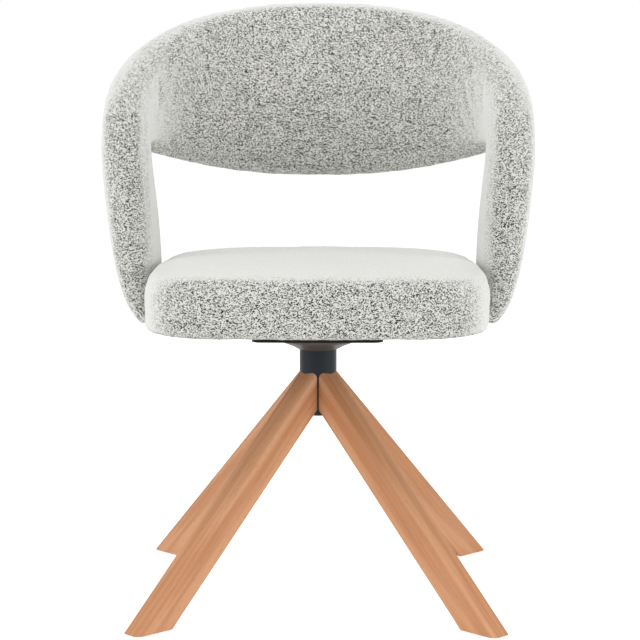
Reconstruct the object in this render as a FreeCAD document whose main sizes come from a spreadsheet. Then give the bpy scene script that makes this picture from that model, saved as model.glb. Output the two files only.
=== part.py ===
import FreeCAD, Part
import math
import os
import re
import Sketcher
from FreeCAD import Placement, Rotation, Vector

# Swivel dining chair: an upholstered seat with a padded band that wraps round the back
# and runs down into the arms, turning on a four-legged wooden base.
# Origin on the floor under the swivel axis, +Z up, +Y towards the backrest, millimetres.

driving = {
    # Hub and legs
    "hubDiameter": 50.8,
    "hubWall": 3,
    "hubBottom": 249,
    "hubTop": 338,
    "hubCapDepth": 12,
    "hubCapWall": 2.5,
    "hubCapProud": 1.5,
    "legWidth": 34,
    "legDepth": 41,
    "legPitch": 44.3,
    "footReach": 337.6,
    "legTopRound": 9,
    "legUnderRound": 2,
    "strapLength": 92,
    "strapWidth": 20,
    "strapThickness": 4,
    "legScrewDiameter": 6,
    "legScrewLength": 26,
    "legScrewHead": 11,
    "legScrewHeadHeight": 3,
    "firstScrew": 38,
    "screwPitch": 36,
    "glideDiameter": 22,
    "glideThickness": 3,
    "glideProud": 1,
    "cutOver": 2,
    # Swivel bearing
    "spindleDiameter": 25,
    "runningGap": 0.05,
    "bushFlange": 2,
    "upperBushLength": 24,
    "lowerBushLength": 20,
    "lowerBushTop": 292,
    "thrustOuter": 47,
    "thrustWasherThickness": 2,
    "slideRingThickness": 3,
    "collarDiameter": 42,
    "washerDiameter": 40,
    "washerThickness": 2,
    "ringThickness": 1.5,
    "ringWidth": 4,
    "ringDepth": 1.2,
    "spindleTail": 4,
    "spindleChamfer": 1,
    "washerPlay": 0.1,
    # Pressed seat plate and the cup under it
    "plateSide": 175,
    "plateSheet": 3,
    "plateRise": 18.6,
    "plateDepth": 23.4,
    "plateCorner": 14,
    "plateBend": 4,
    "cupDiameter": 125,
    "cupWall": 1.5,
    "cupDrop": 0.8,
    "cupGap": 0.7,
    "boltSpacing": 138,
    "boltDiameter": 6,
    "boltHead": 11,
    "boltHeadHeight": 4,
    # Board, dust cover and seat cushion
    "dustCoverThickness": 1,
    "dustCoverInset": 12,
    "dustCoverGap": 3,
    "boardThickness": 15,
    "boardSideInset": 43,
    "boardFrontInset": 44,
    "boardRearInset": 40,
    "boardCorner": 60,
    "boardRearCorner": 135,
    "teeNutFlange": 19,
    "teeNutFlangeThickness": 1.2,
    "teeNutBarrel": 8,
    "teeNutLength": 11,
    "seatWidth": 458,
    "seatFront": 250,
    "seatRear": 214,
    "seatDrop": 1.6,
    "seatThickness": 83.8,
    "seatBow": 7,
    "seatCrown": 112,
    "seatCorner": 88,
    "seatRearCorner": 150,
    "nestGap": 0.5,
    # Padded band, its heights measured from the top of the seat plate and its half widths
    # from the cushion's side: its top edge becomes the front edge of the arms
    "backRise": 431,
    "bandTopRear": 232,
    "shoulderRise": 232,
    "shoulderOut": 36,
    "armFront": 32,
    "gapRise": 181.5,
    "bandBottomRear": 203,
    "notchRise": 226,
    "notchOut": 27,
    "notchRear": 55,
    "backThickness": 50,
    "shoulderThickness": 66,
    "bandCrown": 3,
    "seamAngle": 48.4,
    # Arms: how they lean in, spread and thin out on the way down, and tuck in under the seat
    "armDrop": 239.4,
    "armFrontLean": 18.5,
    "armRearLean": 26,
    "armRearOut": 31,
    "armFrontTuck": 19,
    "armRearTuck": 14,
    "armSpread": 41,
    "armBelly": 4,
    "armNarrow": 4,
    "armThinning": 39,
    "armTipInset": 9,
    "armTipShare": 0.55,
    "armTipDraw": 6,
    "armTipDrop": 3,
    # Moulded shell inside the band, and the steel brackets that carry it
    "shellThickness": 9,
    "shellShare": 0.78,
    "bracketThickness": 4,
    "bracketShare": 0.5,
    "bracketInset": 14,
    "bracketFoot": 77,
    "bracketFront": 22,
    "bracketRear": 86,
    "footBoltSpacing": 70,
    "footBoltInset": 16,
    "shellBoltSpacing": 34,
    "shellBoltLength": 12,
    "leafGap": 0.3,
    "padGap": 0.3,
}

# Sizes that follow from the driving ones
derived = {
    "hubRadius": "hubDiameter / 2",
    "hubBore": "hubRadius - hubWall",
    "legLineReach": "footReach - legDepth / sin(legPitch)",
    "spindleRadius": "spindleDiameter / 2",
    "bushBore": "spindleRadius + runningGap",
    "thrustBottom": "hubTop + bushFlange",
    "slideBottom": "thrustBottom + thrustWasherThickness",
    "collarBottom": "slideBottom + slideRingThickness",
    "ringTop": "lowerBushTop - lowerBushLength - washerThickness",
    "plateBottom": "hubTop + plateRise",
    "plateTop": "plateBottom + plateDepth",
    "webBottom": "plateTop - plateSheet",
    "boardTop": "plateTop + boardThickness",
    "cupNeck": "hubRadius + cupGap",
    "cupBottom": "hubTop - cupDrop",
    "seatHalf": "seatWidth / 2",
    "seatBottom": "plateTop - seatDrop",
    "boardHalf": "seatHalf - boardSideInset",
    "boardFront": "seatFront - boardFrontInset",
    "boardRear": "seatRear - boardRearInset",
    "bandTop": "plateTop + backRise",
    "shoulderHeight": "plateTop + shoulderRise",
    "shoulderHalf": "seatHalf + shoulderOut",
    "bandBottom": "plateTop + gapRise",
    "notchHeight": "plateTop + notchRise",
    "notchHalf": "seatHalf + notchOut",
    "bracketReach": "seatHalf - bracketInset",
    "bracketInner": "bracketReach - bracketFoot",
    "footBoltHalf": "bracketInner + footBoltInset",
}

doc = FreeCAD.newDocument("swivel_dining_chair")
sheet = doc.addObject("Spreadsheet::Sheet", "Sizes")
aliases = list(driving) + list(derived)


def bound(formula):
    """Writes a formula on the sheet's aliases as an expression of the document."""
    return re.sub(r"[A-Za-z]\w*", lambda word: "Sizes." + word[0] if word[0] in aliases else word[0],
                  str(formula))


for row, (alias, number) in enumerate(driving.items(), 1):
    sheet.set("A%d" % row, alias)
    sheet.set("B%d" % row, str(number))
    sheet.setAlias("B%d" % row, alias)
for row, (alias, formula) in enumerate(derived.items(), len(driving) + 1):
    sheet.set("A%d" % row, alias)
    sheet.set("B%d" % row, "=" + formula)
    sheet.setAlias("B%d" % row, alias)
doc.recompute()

nodes = []


def size(formula):
    return float(sheet.evalExpression(str(formula)))


def keep(item):
    nodes.append(item)
    return item


# Helpers for bodies made from sketches

def newBody(label):
    body = doc.addObject("PartDesign::Body", label)
    body.Label = label
    return body


def plane(body, role):
    return [item for item in body.Origin.OriginFeatures if item.Role == role][0]


def newSketch(body, role, height=None):
    sketch = body.newObject("Sketcher::SketchObject", body.Name + "Sketch")
    sketch.AttachmentSupport = (plane(body, role), [""])
    sketch.MapMode = "FlatFace"
    if height is not None:
        sketch.setExpression(".AttachmentOffset.Base.z", bound(height))
    return sketch


def fix(sketch, geometry, vertex, across, up):
    """Ties one vertex of a sketch to the sheet, in both directions."""
    for kind, formula, axis in (("DistanceX", across, -2), ("DistanceY", up, -1)):
        if str(formula) == "0":
            sketch.addConstraint(Sketcher.Constraint("PointOnObject", geometry, vertex, axis))
        else:
            index = sketch.addConstraint(
                Sketcher.Constraint(kind, -1, 1, geometry, vertex, size(formula)))
            sketch.setExpression("Constraints[%d]" % index, bound(formula))


def outline(sketch, points):
    """A closed outline of straight edges through points given as formulas."""
    first = sketch.GeometryCount
    corners = [Vector(size(x), size(y), 0) for x, y in points]
    for index, corner in enumerate(corners):
        sketch.addGeometry(Part.LineSegment(corner, corners[(index + 1) % len(corners)]), False)
    for index in range(len(points)):
        after = (index + 1) % len(points)
        sketch.addConstraint(Sketcher.Constraint("Coincident", first + index, 2, first + after, 1))
    for index, (x, y) in enumerate(points):
        fix(sketch, first + index, 1, x, y)


def circle(sketch, x, y, radius):
    shape = Part.Circle(Vector(size(x), size(y), 0), Vector(0, 0, 1), size(radius))
    index = sketch.addGeometry(shape, False)
    fix(sketch, index, 3, x, y)
    constraint = sketch.addConstraint(Sketcher.Constraint("Radius", index, size(radius)))
    sketch.setExpression("Constraints[%d]" % constraint, bound(radius))


def rectangle(sketch, width, depth, middle="0"):
    """A rectangle centred across, and at the given height of its middle."""
    left = "-(%s) / 2" % width
    right = "(%s) / 2" % width
    low = "%s - (%s) / 2" % (middle, depth)
    high = "%s + (%s) / 2" % (middle, depth)
    outline(sketch, [(left, low), (right, low), (right, high), (left, high)])


def padded(body, sketch, length, symmetric=False):
    pad = body.newObject("PartDesign::Pad", body.Name + "Pad")
    pad.Profile = sketch
    pad.SideType = "Symmetric" if symmetric else "One side"
    pad.setExpression("Length", bound(length))
    doc.recompute()
    return pad


def pocketed(body, sketch, length=None, symmetric=False, reverse=False):
    before = body.Shape.Volume
    pocket = body.newObject("PartDesign::Pocket", body.Name + "Pocket")
    pocket.Profile = sketch
    pocket.SideType = "Symmetric" if symmetric else "One side"
    pocket.Reversed = reverse
    if length is None:
        pocket.Type = "ThroughAll"
    else:
        pocket.setExpression("Length", bound(length))
    doc.recompute()
    if not body.Shape.Volume < before:
        raise ValueError("a cut in %s removes nothing" % body.Label)
    return pocket


def turned(label, *outlines):
    """A body of revolution about the vertical axis."""
    body = newBody(label)
    sketch = newSketch(body, "XZ_Plane")
    for points in outlines:
        outline(sketch, points)
    solid = body.newObject("PartDesign::Revolution", label + "Turn")
    solid.Profile = sketch
    solid.ReferenceAxis = (sketch, ["V_Axis"])
    solid.Angle = 360
    doc.recompute()
    return keep(body)


def edgeNames(feature, test):
    """The edges of a feature that pass a test on their two ends."""
    names = []
    for index, edge in enumerate(feature.Shape.Edges, 1):
        ends = [vertex.Point for vertex in edge.Vertexes]
        if len(ends) == 2 and test(ends[0], ends[1]):
            names.append("Edge%d" % index)
    return names


def rounded(body, feature, radius, test):
    fillet = body.newObject("PartDesign::Fillet", body.Name + "Round")
    fillet.Base = (feature, edgeNames(feature, test))
    fillet.setExpression("Radius", bound(radius))
    doc.recompute()
    return fillet


def bevelled(body, feature, width, test):
    chamfer = body.newObject("PartDesign::Chamfer", body.Name + "Bevel")
    chamfer.Base = (feature, edgeNames(feature, test))
    chamfer.setExpression("Size", bound(width))
    doc.recompute()
    return chamfer


def upright(a, b):
    return abs(a.x - b.x) < 0.01 and abs(a.y - b.y) < 0.01


def solidNode(label, shape):
    """A piece whose shape is made directly: a group of fasteners, a bracket or a pad."""
    item = doc.addObject("Part::Feature", label)
    item.Label = label
    item.Shape = shape
    return keep(item)


def cylinder(radius, height, base, direction=Vector(0, 0, 1)):
    return Part.makeCylinder(radius, height, base, direction)


# Hub: a steel tube that the legs meet, closed below by a plastic cap

def makeHub():
    turned("hub_tube", [("hubBore", "hubBottom"), ("hubRadius", "hubBottom"),
                        ("hubRadius", "hubTop"), ("hubBore", "hubTop")])
    inside = "hubBore - hubCapWall"
    turned("hub_cap", [("0", "hubBottom - hubCapProud"),
                       ("hubRadius - hubCapProud", "hubBottom - hubCapProud"),
                       ("hubRadius", "hubBottom"), ("hubBore", "hubBottom"),
                       ("hubBore", "hubBottom + hubCapDepth"),
                       (inside, "hubBottom + hubCapDepth"),
                       (inside, "hubBottom + hubCapWall"), ("0", "hubBottom + hubCapWall")])


# Legs: straight beech bars, cut level at the floor and to the tube's arc at the hub

legCorner = ("hubRadius", "(legLineReach - hubRadius) * tan(legPitch)")


def onLeg(along, into):
    """A point of the leg's middle plane, measured from its lower inner corner."""
    x = "%s + (%s) * cos(legPitch) + (%s) * sin(legPitch)" % (legCorner[0], along, into)
    z = "%s - (%s) * sin(legPitch) + (%s) * cos(legPitch)" % (legCorner[1], along, into)
    return x, z


def hubCut(body, radius="hubRadius"):
    sketch = newSketch(body, "XY_Plane")
    circle(sketch, "0", "0", radius)
    pocketed(body, sketch, symmetric=True)


def drill(body, along, diameter, depth):
    """A round hole into the leg's underside, square to it."""
    sketch = newSketch(body, "XZ_Plane")
    low = "-cutOver"
    outline(sketch, [onLeg(along, low), onLeg("%s + %s / 2" % (along, diameter), low),
                     onLeg("%s + %s / 2" % (along, diameter), depth), onLeg(along, depth)])
    start = Vector(*[size(value) for value in onLeg(along, low)], 0)
    end = Vector(*[size(value) for value in onLeg(along, depth)], 0)
    axis = sketch.addGeometry(Part.LineSegment(start, end), True)
    fix(sketch, axis, 1, *onLeg(along, low))
    fix(sketch, axis, 2, *onLeg(along, depth))
    before = body.Shape.Volume
    groove = body.newObject("PartDesign::Groove", body.Name + "Hole")
    groove.Profile = sketch
    groove.ReferenceAxis = (sketch, ["Axis0"])
    groove.Angle = 360
    doc.recompute()
    if not body.Shape.Volume < before:
        raise ValueError("a hole in %s removes nothing" % body.Label)


legPlaces = {"front_right": -45, "rear_right": 45, "rear_left": 135, "front_left": -135}
screwPlaces = ["firstScrew", "firstScrew + screwPitch"]


def makeLeg(place, turn):
    body = newBody("leg_" + place)
    sketch = newSketch(body, "XZ_Plane")
    cut = "glideProud / tan(legPitch)"
    inside = "hubRadius / 2"
    outline(sketch, [("footReach - %s" % cut, "glideProud"),
                     (inside, "(footReach - %s) * tan(legPitch)" % inside),
                     (inside, "(legLineReach - %s) * tan(legPitch)" % inside),
                     ("legLineReach - %s" % cut, "glideProud")])
    bar = padded(body, sketch, "legWidth", symmetric=True)
    slope = math.tan(math.radians(size("legPitch")))
    reach = size("footReach")

    def alongLeg(a, b):
        return abs(a.z - b.z) > size("legDepth") * 2

    def topEdge(a, b):
        return alongLeg(a, b) and abs((reach - a.x) * slope - a.z) < 0.1

    def underEdge(a, b):
        return alongLeg(a, b) and not topEdge(a, b)

    softened = rounded(body, bar, "legTopRound", topEdge)
    rounded(body, softened, "legUnderRound", underEdge)
    hubCut(body)
    sketch = newSketch(body, "XZ_Plane")
    outline(sketch, [onLeg("-strapThickness", "-cutOver"), onLeg("strapLength", "-cutOver"),
                     onLeg("strapLength", "strapThickness"),
                     onLeg("-strapThickness", "strapThickness")])
    pocketed(body, sketch, "strapWidth", symmetric=True)
    for along in screwPlaces:
        drill(body, along, "legScrewDiameter", "legScrewLength")
    middle = "(footReach + legLineReach) / 2 - %s" % cut
    sketch = newSketch(body, "XY_Plane")
    circle(sketch, middle, "0", "glideDiameter / 2")
    pocketed(body, sketch, "glideThickness", reverse=True)
    body.Placement = Placement(Vector(0, 0, 0), Rotation(Vector(0, 0, 1), turn))
    keep(body)


def makeStrap(place, turn):
    """The flat bar under a leg, welded to the tube and let into the wood."""
    body = newBody("leg_strap_" + place)
    sketch = newSketch(body, "XZ_Plane")
    outline(sketch, [onLeg("-strapThickness", "0"), onLeg("strapLength", "0"),
                     onLeg("strapLength", "strapThickness"),
                     onLeg("-strapThickness", "strapThickness")])
    padded(body, sketch, "strapWidth", symmetric=True)
    hubCut(body)
    for along in screwPlaces:
        drill(body, along, "legScrewDiameter", "strapThickness + cutOver")
    body.Placement = Placement(Vector(0, 0, 0), Rotation(Vector(0, 0, 1), turn))
    keep(body)


def hexHead(across, height, base, direction=Vector(0, 0, 1)):
    """A hexagonal head, given by its width over the corners."""
    turn = Rotation(Vector(0, 0, 1), direction)
    corners = [base + turn * Vector(across / 2 * math.cos(math.pi * index / 3),
                                    across / 2 * math.sin(math.pi * index / 3), 0)
               for index in range(6)]
    face = Part.Face(Part.makePolygon(corners + corners[:1]))
    return face.extrude(direction * height)


def makeLegScrews():
    pitch = math.radians(size("legPitch"))
    into = Vector(math.sin(pitch), 0, math.cos(pitch))
    radius = size("legScrewDiameter") / 2
    headHeight = size("legScrewHeadHeight")
    screws = []
    for turn in legPlaces.values():
        for along in screwPlaces:
            x, z = [size(value) for value in onLeg(along, "0")]
            surface = Vector(x, 0, z)
            head = hexHead(size("legScrewHead"), headHeight, surface - into * headHeight, into)
            screw = head.fuse(cylinder(radius, size("legScrewLength"), surface, into))
            screw.rotate(Vector(0, 0, 0), Vector(0, 0, 1), turn)
            screws.append(screw)
    solidNode("leg_screws", Part.makeCompound(screws))


def makeGlide(place, turn):
    body = newBody("foot_glide_" + place)
    sketch = newSketch(body, "XY_Plane")
    middle = "(footReach + legLineReach) / 2 - glideProud / tan(legPitch)"
    circle(sketch, middle, "0", "glideDiameter / 2")
    padded(body, sketch, "glideThickness")
    body.Placement = Placement(Vector(0, 0, 0), Rotation(Vector(0, 0, 1), turn))
    keep(body)


# Swivel: a spindle in two bushes, its collar running on a slide ring over the tube's mouth

def makeSwivel():
    turned("spindle", [("0", "ringTop - ringThickness - spindleTail"),
                       ("spindleRadius - spindleChamfer", "ringTop - ringThickness - spindleTail"),
                       ("spindleRadius", "ringTop - ringThickness - spindleTail + spindleChamfer"),
                       ("spindleRadius", "ringTop - ringThickness"),
                       ("spindleRadius - ringDepth", "ringTop - ringThickness"),
                       ("spindleRadius - ringDepth", "ringTop"),
                       ("spindleRadius", "ringTop"),
                       ("spindleRadius", "collarBottom"),
                       ("collarDiameter / 2", "collarBottom"),
                       ("collarDiameter / 2", "webBottom"),
                       ("0", "webBottom")])
    turned("upper_bush", [("bushBore", "hubTop - upperBushLength"),
                          ("hubBore", "hubTop - upperBushLength"), ("hubBore", "hubTop"),
                          ("hubRadius", "hubTop"), ("hubRadius", "thrustBottom"),
                          ("bushBore", "thrustBottom")])
    turned("lower_bush", [("bushBore", "lowerBushTop - lowerBushLength"),
                          ("hubBore", "lowerBushTop - lowerBushLength"),
                          ("hubBore", "lowerBushTop"), ("bushBore", "lowerBushTop")])
    washerTop = "ringTop + washerThickness - washerPlay"
    turned("retaining_washer", [("bushBore", "ringTop"), ("washerDiameter / 2", "ringTop"),
                                ("washerDiameter / 2", washerTop), ("bushBore", washerTop)])
    ringOuter = "spindleRadius - ringDepth + ringWidth"
    ring = turned("retaining_ring", [("spindleRadius - ringDepth", "ringTop - ringThickness"),
                                     (ringOuter, "ringTop - ringThickness"),
                                     (ringOuter, "ringTop"),
                                     ("spindleRadius - ringDepth", "ringTop")])
    # The ring is open at one side, so that it springs into the groove
    sketch = newSketch(ring, "XY_Plane", "ringTop")
    outline(sketch, [("0", "-ringWidth"), ("spindleDiameter", "-ringWidth"),
                     ("spindleDiameter", "ringWidth"), ("0", "ringWidth")])
    pocketed(ring, sketch, "ringThickness")
    for label, low, thick in (("thrust_washer", "thrustBottom", "thrustWasherThickness"),
                              ("slide_ring", "slideBottom", "slideRingThickness")):
        turned(label, [("bushBore", low), ("thrustOuter / 2", low),
                       ("thrustOuter / 2", low + " + " + thick),
                       ("bushBore", low + " + " + thick)])


# Seat plate: a pressed steel pan, turned down at its edges, with a cup that hides the bearing

# The cup's bends, as shares of the way out to its rim and of the way up to the plate
cupBends = ((0.24, 0.22), (0.76, 0.6))


def makeSeatPlate():
    body = newBody("seat_plate")
    sketch = newSketch(body, "XY_Plane", "plateBottom")
    rectangle(sketch, "plateSide", "plateSide")
    block = padded(body, sketch, "plateDepth")
    corners = rounded(body, block, "plateCorner", upright)
    top = size("plateTop")
    bevelled(body, corners, "plateBend",
             lambda a, b: abs(a.z - top) < 0.01 and abs(b.z - top) < 0.01)
    sketch = newSketch(body, "XY_Plane", "plateBottom")
    inner = "plateSide - 2 * plateSheet"
    rectangle(sketch, inner, inner)
    pocketed(body, sketch, "plateDepth - plateSheet", reverse=True)
    sketch = newSketch(body, "XY_Plane", "plateTop")
    for x in ("-boltSpacing / 2", "boltSpacing / 2"):
        for y in ("-boltSpacing / 2", "boltSpacing / 2"):
            circle(sketch, x, y, "boltDiameter / 2")
    pocketed(body, sketch, "plateSheet + cutOver")
    keep(body)
    outer = [("cupNeck + cupWall", "cupBottom")]
    inner = [("cupNeck", "cupBottom")]
    for out, up in cupBends:
        x = "cupNeck + (cupDiameter / 2 - cupNeck) * %s" % out
        z = "cupBottom + (plateBottom - cupBottom) * %s" % up
        outer.append((x + " + cupWall / 2", z))
        inner.append((x + " - cupWall / 2", z + " + cupWall"))
    outer += [("cupDiameter / 2", "plateBottom"), ("cupDiameter / 2", "webBottom")]
    inner += [("cupDiameter / 2 - cupWall", "plateBottom + cupWall / 2"),
              ("cupDiameter / 2 - cupWall", "webBottom")]
    turned("swivel_cup", outer + inner[::-1])


# Board and its cover, with the threaded tee nuts that take every bolt of the seat

def boltPoints():
    half = size("boltSpacing") / 2
    return [Vector(x, y, 0) for x in (-half, half) for y in (-half, half)]


def footBoltPoints():
    half = size("footBoltSpacing") / 2
    middle = (size("bracketRear") - size("bracketFront")) / 2
    reach = size("footBoltHalf")
    return [Vector(x, middle + y, 0) for x in (-reach, reach) for y in (-half, half)]


def lifted(point, height):
    return Vector(point.x, point.y, height)


def boltCircles(sketch, radius):
    for x in ("-boltSpacing / 2", "boltSpacing / 2"):
        for y in ("-boltSpacing / 2", "boltSpacing / 2"):
            circle(sketch, x, y, radius)
    middle = "(bracketRear - bracketFront) / 2"
    for x in ("-footBoltHalf", "footBoltHalf"):
        for sign in ("-", "+"):
            circle(sketch, x, "%s %s footBoltSpacing / 2" % (middle, sign), radius)


def boardSlab(label, low, thickness, inset):
    """A flat sheet of the seat's outline, smaller all round by an inset."""
    body = newBody(label)
    sketch = newSketch(body, "XY_Plane", low)
    left = "-(boardHalf - %s)" % inset
    right = "boardHalf - %s" % inset
    near = "-(boardFront - %s)" % inset
    far = "boardRear - %s" % inset
    outline(sketch, [(left, near), (right, near), (right, far), (left, far)])
    slab = padded(body, sketch, thickness)
    middle = size("(boardRear - boardFront) / 2")
    front = rounded(body, slab, "boardCorner - %s" % inset,
                    lambda a, b: upright(a, b) and a.y < middle)
    rounded(body, front, "boardRearCorner - %s" % inset,
            lambda a, b: upright(a, b) and a.y > middle)
    return keep(body)


def makeBoard():
    board = boardSlab("seat_board", "plateTop", "boardThickness", "0")
    sketch = newSketch(board, "XY_Plane", "boardTop")
    boltCircles(sketch, "teeNutBarrel / 2")
    pocketed(board, sketch, "boardThickness")
    # The cover is cut away round the plate and the brackets, which bear on the board itself
    cover = boardSlab("dust_cover", "plateTop - dustCoverThickness", "dustCoverThickness",
                      "dustCoverInset")
    sketch = newSketch(cover, "XY_Plane", "plateTop")
    room = "plateSide + 2 * dustCoverGap"
    rectangle(sketch, room, room)
    near = "-(bracketFront + dustCoverGap)"
    far = "bracketRear + dustCoverGap"
    for side in ("-", ""):
        inner = side + "(bracketInner - dustCoverGap)"
        outer = side + "(boardHalf + cutOver)"
        outline(sketch, [(inner, near), (outer, near), (outer, far), (inner, far)])
    pocketed(cover, sketch, "dustCoverThickness + cutOver")


def makeSeatFasteners():
    top = size("boardTop")
    flange = size("teeNutFlangeThickness")
    length = size("teeNutLength")
    bolt = size("boltDiameter") / 2
    nuts = []
    for point in boltPoints() + footBoltPoints():
        nut = hexHead(size("teeNutFlange"), flange, lifted(point, top))
        nut = nut.fuse(cylinder(size("teeNutBarrel") / 2, length, lifted(point, top - length)))
        nuts.append(nut.cut(cylinder(bolt, length + flange, lifted(point, top - length))))
    solidNode("tee_nuts", Part.makeCompound(nuts))
    for label, points, seat in (("plate_bolts", boltPoints(), "webBottom"),
                                ("bracket_bolts", footBoltPoints(), "plateTop - bracketThickness")):
        face = size(seat)
        headHeight = size("boltHeadHeight")
        bolts = []
        for point in points:
            head = hexHead(size("boltHead"), headHeight, lifted(point, face - headHeight))
            bolts.append(head.fuse(cylinder(bolt, top - face, lifted(point, face))))
        solidNode(label, Part.makeCompound(bolts))


# The band is a loft of stations. A station has a front or top edge point, a rear or bottom
# edge point, a thickness and the direction that its outer side faces.

topBow = 0.95
topRiseBow = 0.46
bottomBow = 0.8
topPlanBow = 0.84
planBow = 0.9
fanRate = 2.76
riseRate = 2.4

tuckRate = 10
tuckDip = 1.18
thinRate = 3
spreadEnd = 0.8
armShares = (0.2, 0.5, 0.78, 0.9, 0.973)
leafShares = armShares[1:4]
shellAngles = (0, 26, 50, 72, 90)

# The padded section: its corner radius and the bulge of its ends, as shares of its half depth
cornerShare = 0.78
tipShare = 0.14


def bandStation(degrees):
    """The band at an angle round the back, from 0 at its middle to 90 at the shoulder."""
    angle = math.radians(degrees)
    side = math.sin(angle)
    back = max(0.0, math.cos(angle))
    front = size("armFront")
    edge = Vector(size("shoulderHalf") * side ** topBow,
                  -front + (size("bandTopRear") + front) * back ** topPlanBow,
                  size("shoulderHeight")
                  + (size("bandTop") - size("shoulderHeight")) * back ** topRiseBow)
    lowSide = side ** fanRate
    lowBack = math.sqrt(max(0.0, 1 - lowSide ** 2))
    across = lowSide ** bottomBow
    hem = Vector(size("notchHalf") * across,
                 size("notchRear")
                 + (size("bandBottomRear") - size("notchRear")) * lowBack ** planBow,
                 size("bandBottom")
                 + (size("notchHeight") - size("bandBottom")) * across ** riseRate)
    grow = size("shoulderThickness") - size("backThickness")
    return edge, hem, size("backThickness") + grow * side ** 2, Vector(side ** 1.2, back, 0)


def armStation(share):
    """The arm at a share of the way from the shoulder down to the seat plate."""
    tuck = share ** tuckRate
    height = size("shoulderHeight") - size("armDrop") * share
    half = size("seatHalf")
    edge = Vector(half + size("shoulderOut") - size("armFrontLean") * share
                  - size("armFrontTuck") * tuck,
                  -size("armFront") - size("armBelly") * math.sin(math.pi * share)
                  + size("armNarrow") * tuck, height)
    spread = math.sin(math.pi / 2 * min(1.0, share / spreadEnd))
    hem = Vector(half + size("armRearOut") - size("armRearLean") * share
                 - size("armRearTuck") * tuck,
                 size("notchRear") + size("armSpread") * spread - size("armNarrow") * tuck, height)
    thick = size("shoulderThickness") - size("armThinning") * share ** thinRate
    return edge, hem, thick, Vector(1, 0, -tuckDip * tuck)


def stationAxes(station):
    edge, hem, thick, facing = station
    along = edge - hem
    half = along.Length / 2
    along.normalize()
    outward = facing - along * facing.dot(along)
    outward.normalize()
    return (edge + hem) / 2, along, outward, half, thick / 2


def sectionWire(station, grow=0.0):
    """The padded section: crowned sides and round ends, in arcs of under a half circle."""
    centre, along, outward, half, deep = stationAxes(station)
    half += grow
    deep += grow
    crown = min(size("bandCrown"), deep / 4)
    flat = deep - crown
    corner = flat * cornerShare
    tip = deep * tipShare
    turn = corner * (1 - math.sqrt(0.5))

    def at(u, v):
        return centre + along * u + outward * v

    stops = []
    for u, v in ((1, 1), (-1, 1), (-1, -1), (1, -1)):
        shoulder = (u * (half - tip - corner), v * flat)
        bend = (u * (half - tip - turn), v * (flat - turn))
        end = (u * (half - tip), v * (flat - corner))
        stops.append([shoulder, bend, end] if u * v < 0 else [end, bend, shoulder])
    middles = [(0, deep), (-half, 0), (0, -deep), (half, 0)]
    edges = []
    for index, stop in enumerate(stops):
        a, b, c = [at(*point) for point in stop]
        edges.append(Part.Arc(a, b, c).toShape())
        after = at(*stops[(index + 1) % 4][0])
        edges.append(Part.Arc(c, at(*middles[index]), after).toShape())
    return Part.Wire(edges)


def bandStations():
    seam = size("seamAngle")
    back = [bandStation(seam * share) for share in (0, 0.35, 0.68, 1)]
    rest = 90 - seam
    side = [bandStation(seam + rest * share) for share in (0, 0.3, 0.58, 0.82, 1)]
    return back, side + [armStation(share) for share in armShares]


def armTip(station):
    """A smaller copy of the last station, a little further along, that rounds the arm's end."""
    edge, hem, thick, facing = station
    inset = (edge - hem).normalize() * size("armTipInset")
    drop = Vector(-size("armTipDraw"), 0, -size("armTipDrop"))
    return edge - inset + drop, hem + inset + drop, thick * size("armTipShare"), facing


def mirrored(station):
    edge, hem, thick, facing = station
    return (Vector(-edge.x, edge.y, edge.z), Vector(-hem.x, hem.y, hem.z), thick,
            Vector(-facing.x, facing.y, facing.z))


def ruledLoft(wires):
    return Part.makeLoft(wires, True, True)


def bandLoft(stations, grow=0.0):
    return ruledLoft([sectionWire(station, grow) for station in stations])


def sheetWire(station, share, low, high, grow=0.0):
    """A flat bar's section in a station's plane, between two distances from its middle."""
    centre, along, outward, half, deep = stationAxes(station)
    reach = half * share + grow
    corners = [centre + along * u + outward * v
               for u, v in ((reach, low - grow), (-reach, low - grow),
                            (-reach, high + grow), (reach, high + grow))]
    return Part.makePolygon(corners + corners[:1])


def makeShell():
    """The moulded shell of the band, from one arm's end to the other."""
    half = [bandStation(angle) for angle in shellAngles]
    half += [armStation(share) for share in armShares]
    stations = [mirrored(station) for station in half[:0:-1]] + half
    thick = size("shellThickness") / 2
    share = size("shellShare")
    gap = size("padGap")
    shell = ruledLoft([sheetWire(station, share, -thick, thick) for station in stations])
    sleeve = ruledLoft([sheetWire(station, share, -thick, thick, gap) for station in stations])
    return shell, sleeve


def bracketSolid(side, grow=0.0):
    """A steel angle: a leaf against the shell's inner face and a foot under the board."""
    top = size("plateTop")
    sheetThick = size("bracketThickness")
    outer = -size("shellThickness") / 2 - size("leafGap")
    reach = side * size("bracketReach")
    front = -size("bracketFront")
    rear = size("bracketRear")
    leaf = [armStation(share) for share in leafShares]
    if side < 0:
        leaf = [mirrored(station) for station in leaf]
    wires = [sheetWire(station, size("bracketShare"), outer - sheetThick, outer, grow)
             for station in leaf]
    near = front - grow
    far = rear + grow
    heel = [Vector(reach - side * (sheetThick + grow), near, top),
            Vector(reach - side * (sheetThick + grow), far, top),
            Vector(reach + side * grow, far, top), Vector(reach + side * grow, near, top)]
    wires.append(Part.makePolygon(heel + heel[:1]))
    inner = size("bracketInner") - grow
    width = size("bracketReach") + grow - inner
    foot = Part.makeBox(width, far - near, sheetThick + 2 * grow,
                        Vector(inner if side > 0 else -inner - width, near,
                               top - sheetThick - grow))
    return ruledLoft(wires).fuse(foot)


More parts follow.
